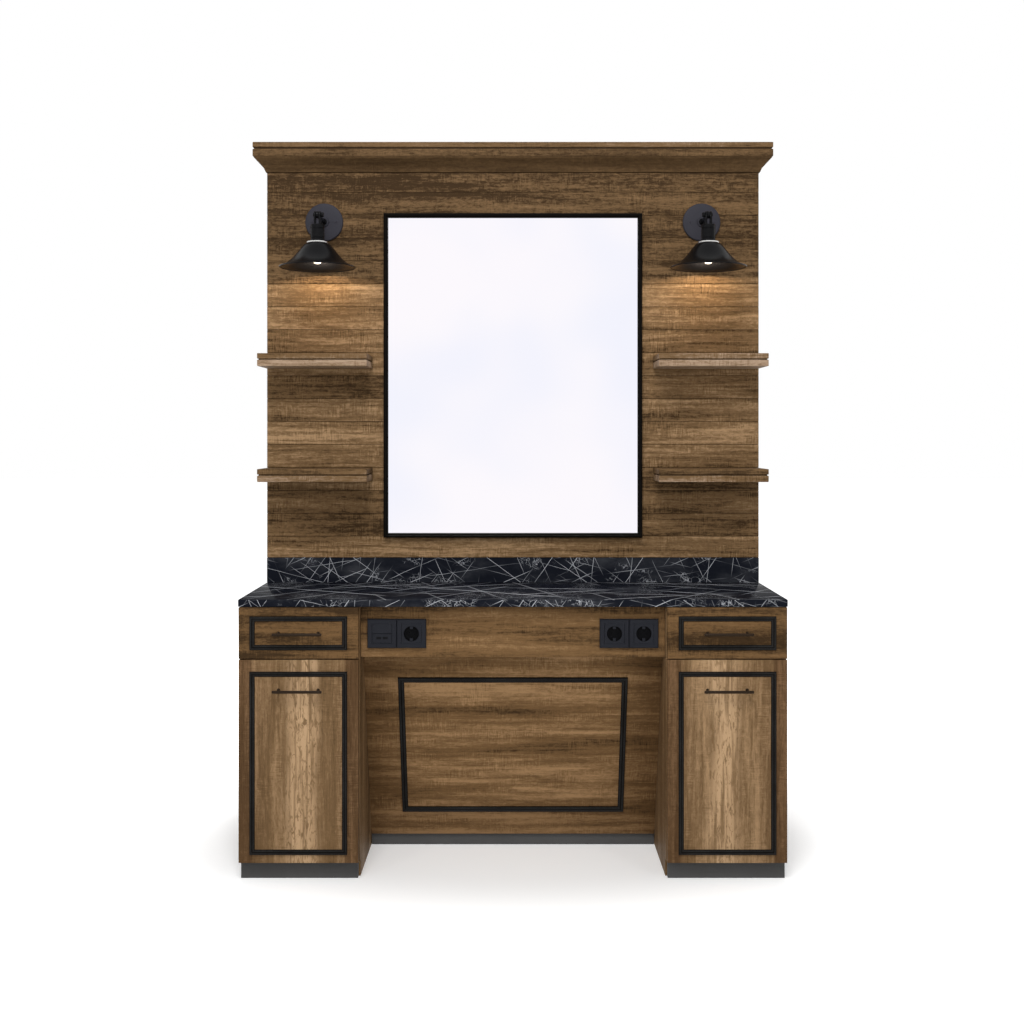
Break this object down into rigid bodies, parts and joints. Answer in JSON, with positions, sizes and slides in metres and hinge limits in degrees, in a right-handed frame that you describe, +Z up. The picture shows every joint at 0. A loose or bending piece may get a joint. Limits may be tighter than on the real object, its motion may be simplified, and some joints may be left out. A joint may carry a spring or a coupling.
{
  "type": "double sided salon station",
  "caption": "Free-standing double sided hairdressing station: planked mirror wall with lamps and shelves over a stone worktop with drawers and tilt-out towel bins.",
  "frame": {"origin": "on the floor under the middle of the station", "axes": "+Z up, the front faces -Y, +X to the right seen from the front"},
  "size_m": [1.574, 0.9456, 2.105],
  "materials": {
    "wood": "rustic brown boards, satin",
    "stone": "polished black stone with white veins",
    "lacquer": "black satin lacquer",
    "plinth": "dark grey laminate",
    "mirror": "silvered glass",
    "black_metal": "black powder coat",
    "lamp_black": "black enamel on spun metal",
    "bulb": "opal glass",
    "socket": "black moulded plastic"
  },
  "bodies": {
    "station": {"worktop": "stone", "spine_core": "wood", "cornice_moulding": "wood", "cornice_top": "wood", "left_carcass": "wood", "right_carcass": "wood", "left_plinth": "plinth", "right_plinth": "plinth", "front_plank_panel": "wood", "front_mirror_frame": "lacquer", "front_mirror_glass": "mirror", "front_splashback": "stone", "front_apron": "wood", "front_knee_panel": "wood", "front_left_shelf_upper": "wood", "front_left_shelf_lower": "wood", "front_left_lamp_bracket": "black_metal", "front_left_socket_plate": "socket", "front_right_shelf_upper": "wood", "front_right_shelf_lower": "wood", "front_right_lamp_bracket": "black_metal", "front_right_socket_plate": "socket", "rear_plank_panel": "wood", "rear_mirror_frame": "lacquer", "rear_mirror_glass": "mirror", "rear_splashback": "stone", "rear_apron": "wood", "rear_knee_panel": "wood", "rear_left_shelf_upper": "wood", "rear_left_shelf_lower": "wood", "rear_left_lamp_bracket": "black_metal", "rear_left_socket_plate": "socket", "rear_right_shelf_upper": "wood", "rear_right_shelf_lower": "wood", "rear_right_lamp_bracket": "black_metal", "rear_right_socket_plate": "socket"},
    "front_left_drawer_body": {"front_left_drawer": "wood", "front_left_drawer_handle": "black_metal"},
    "front_left_bin_body": {"front_left_towel_bin": "wood", "front_left_bin_handle": "black_metal"},
    "front_left_lamp_body": {"front_left_lamp_head": "lamp_black", "front_left_lamp_bulb": "bulb"},
    "front_right_drawer_body": {"front_right_drawer": "wood", "front_right_drawer_handle": "black_metal"},
    "front_right_bin_body": {"front_right_towel_bin": "wood", "front_right_bin_handle": "black_metal"},
    "front_right_lamp_body": {"front_right_lamp_head": "lamp_black", "front_right_lamp_bulb": "bulb"},
    "rear_left_drawer_body": {"rear_left_drawer": "wood", "rear_left_drawer_handle": "black_metal"},
    "rear_left_bin_body": {"rear_left_towel_bin": "wood", "rear_left_bin_handle": "black_metal"},
    "rear_left_lamp_body": {"rear_left_lamp_head": "lamp_black", "rear_left_lamp_bulb": "bulb"},
    "rear_right_drawer_body": {"rear_right_drawer": "wood", "rear_right_drawer_handle": "black_metal"},
    "rear_right_bin_body": {"rear_right_towel_bin": "wood", "rear_right_bin_handle": "black_metal"},
    "rear_right_lamp_body": {"rear_right_lamp_head": "lamp_black", "rear_right_lamp_bulb": "bulb"}
  },
  "joints": [
    {"name": "front_left_drawer_slide", "type": "slide", "parent": "station", "child": "front_left_drawer_body", "axis": [0, -1, 0], "range_m": [0, 0.26]},
    {"name": "front_left_bin_tilt", "type": "hinge", "parent": "station", "child": "front_left_bin_body", "pos_m": [-0.585, -0.412, 0.06], "axis": [1, 0, 0], "range_deg": [0, 30]},
    {"name": "front_left_lamp_tilt", "type": "hinge", "parent": "station", "child": "front_left_lamp_body", "pos_m": [-0.575, -0.175, 1.867], "axis": [1, 0, 0], "range_deg": [-45, 6]},
    {"name": "front_right_drawer_slide", "type": "slide", "parent": "station", "child": "front_right_drawer_body", "axis": [0, -1, 0], "range_m": [0, 0.26]},
    {"name": "front_right_bin_tilt", "type": "hinge", "parent": "station", "child": "front_right_bin_body", "pos_m": [0.585, -0.412, 0.06], "axis": [1, 0, 0], "range_deg": [0, 30]},
    {"name": "front_right_lamp_tilt", "type": "hinge", "parent": "station", "child": "front_right_lamp_body", "pos_m": [0.575, -0.175, 1.867], "axis": [1, 0, 0], "range_deg": [-45, 6]},
    {"name": "rear_left_drawer_slide", "type": "slide", "parent": "station", "child": "rear_left_drawer_body", "axis": [0, 1, 0], "range_m": [0, 0.26]},
    {"name": "rear_left_bin_tilt", "type": "hinge", "parent": "station", "child": "rear_left_bin_body", "pos_m": [0.585, 0.412, 0.06], "axis": [-1, 0, 0], "range_deg": [0, 30]},
    {"name": "rear_left_lamp_tilt", "type": "hinge", "parent": "station", "child": "rear_left_lamp_body", "pos_m": [0.575, 0.175, 1.867], "axis": [-1, 0, 0], "range_deg": [-45, 6]},
    {"name": "rear_right_drawer_slide", "type": "slide", "parent": "station", "child": "rear_right_drawer_body", "axis": [0, 1, 0], "range_m": [0, 0.26]},
    {"name": "rear_right_bin_tilt", "type": "hinge", "parent": "station", "child": "rear_right_bin_body", "pos_m": [-0.585, 0.412, 0.06], "axis": [-1, 0, 0], "range_deg": [0, 30]},
    {"name": "rear_right_lamp_tilt", "type": "hinge", "parent": "station", "child": "rear_right_lamp_body", "pos_m": [-0.575, 0.175, 1.867], "axis": [-1, 0, 0], "range_deg": [-45, 6]}
  ]
}
